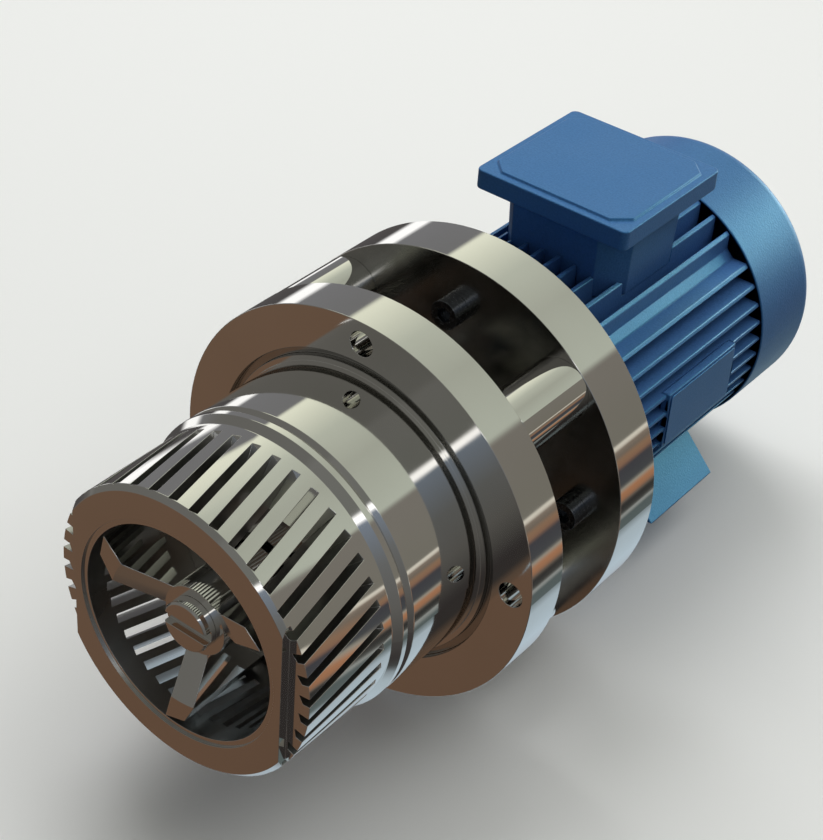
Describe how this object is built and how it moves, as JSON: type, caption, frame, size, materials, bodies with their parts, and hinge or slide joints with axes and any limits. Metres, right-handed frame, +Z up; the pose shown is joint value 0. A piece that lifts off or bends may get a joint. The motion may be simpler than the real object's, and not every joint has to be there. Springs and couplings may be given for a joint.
{
  "type": "high shear mixer",
  "caption": "Flange-mounted high shear mixer: slotted stator head with a hooked rotor, open lantern and a finned electric motor with a terminal box.",
  "frame": {"origin": "centre of the mounting flange's front face, on the shaft line", "axes": "+Y along the shaft line towards the motor's fan, +Z up towards the terminal box, +X towards the nameplate side"},
  "size_m": [0.22, 0.4645, 0.2235],
  "materials": {
    "polished_steel": "mirror-polished stainless steel",
    "turned_steel": "turned and ground",
    "steel_fasteners": "plain machined",
    "bearing_steel": "ground",
    "seal_carbide": "lapped dark carbide",
    "black_rubber": "smooth",
    "blue_paint": "satin paint with a fine orange peel",
    "core_steel": "stacked laminations",
    "winding_varnish": "varnished copper",
    "cast_aluminium": "as cast",
    "fan_plastic": "moulded",
    "block_plastic": "moulded",
    "brass": "plain",
    "gland_plastic": "moulded"
  },
  "bodies": {
    "mixer_body": {"stator_head": "polished_steel", "stator_o_ring": "black_rubber", "mounting_flange": "polished_steel", "lantern_pillars": "polished_steel", "pillar_screws": "steel_fasteners", "adapter_flange": "polished_steel", "motor_bolts": "steel_fasteners", "seal_cover": "polished_steel", "seal_cover_screws": "steel_fasteners", "seal_cover_o_ring": "black_rubber", "seal_seat": "seal_carbide", "seal_seat_o_ring": "black_rubber", "front_end_shield": "blue_paint", "front_shield_screws": "steel_fasteners", "motor_shaft_seal": "black_rubber", "motor_frame": "blue_paint", "rear_end_shield": "blue_paint", "rear_shield_screws": "steel_fasteners", "stator_core": "core_steel", "stator_windings": "winding_varnish", "front_bearing_outer": "bearing_steel", "rear_bearing_outer": "bearing_steel", "fan_cowl": "blue_paint", "cowl_screws": "steel_fasteners", "motor_feet": "blue_paint", "foot_screws": "steel_fasteners", "nameplate": "blue_paint", "terminal_box": "blue_paint", "terminal_box_screws": "steel_fasteners", "lid_gasket": "black_rubber", "terminal_lid": "blue_paint", "lid_screws": "steel_fasteners", "terminal_block": "block_plastic", "terminal_studs": "brass", "terminal_links": "brass", "cable_gland": "gland_plastic", "gland_nut": "gland_plastic", "blanking_plug": "gland_plastic"},
    "rotating_set": {"rotor": "polished_steel", "rotor_screw": "polished_steel", "rotor_key": "turned_steel", "mixer_shaft": "turned_steel", "coupling_key": "turned_steel", "coupling_set_screws": "steel_fasteners", "seal_face": "seal_carbide", "seal_shaft_o_ring": "black_rubber", "seal_spring": "turned_steel", "seal_collar": "turned_steel", "seal_collar_screws": "steel_fasteners", "motor_shaft": "turned_steel", "rotor_core": "core_steel", "cage_end_rings": "cast_aluminium", "front_bearing_inner": "bearing_steel", "front_bearing_balls": "bearing_steel", "rear_bearing_inner": "bearing_steel", "rear_bearing_balls": "bearing_steel", "cooling_fan": "fan_plastic", "fan_circlip": "steel_fasteners"}
  },
  "joints": [
    {"name": "rotor_spin", "type": "hinge", "parent": "mixer_body", "child": "rotating_set", "pos_m": [0, 0, 0], "axis": [0, 1, 0], "continuous": true}
  ]
}
